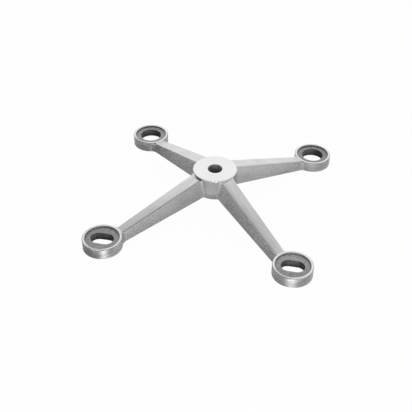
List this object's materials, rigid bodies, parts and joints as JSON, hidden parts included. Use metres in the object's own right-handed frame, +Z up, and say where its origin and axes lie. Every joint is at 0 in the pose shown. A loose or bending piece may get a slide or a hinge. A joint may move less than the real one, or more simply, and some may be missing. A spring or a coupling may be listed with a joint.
{
  "type": "glass spider fitting",
  "caption": "Cast spider fitting with a raised bored hub and sloping arms that end in recessed rings, for holding glass panes by their corners.",
  "frame": {"origin": "centre of the plane that the undersides of the rings stand on, under the hub", "axes": "+Z up along the hub's axis, out of its face; the slotted rings are on the -Y side and the rings with round holes on the +Y side"},
  "size_m": [0.2664, 0.2664, 0.0496],
  "materials": {
    "stainless": "satin"
  },
  "bodies": {
    "root": {"spider_body": "stainless"}
  },
  "joints": []
}
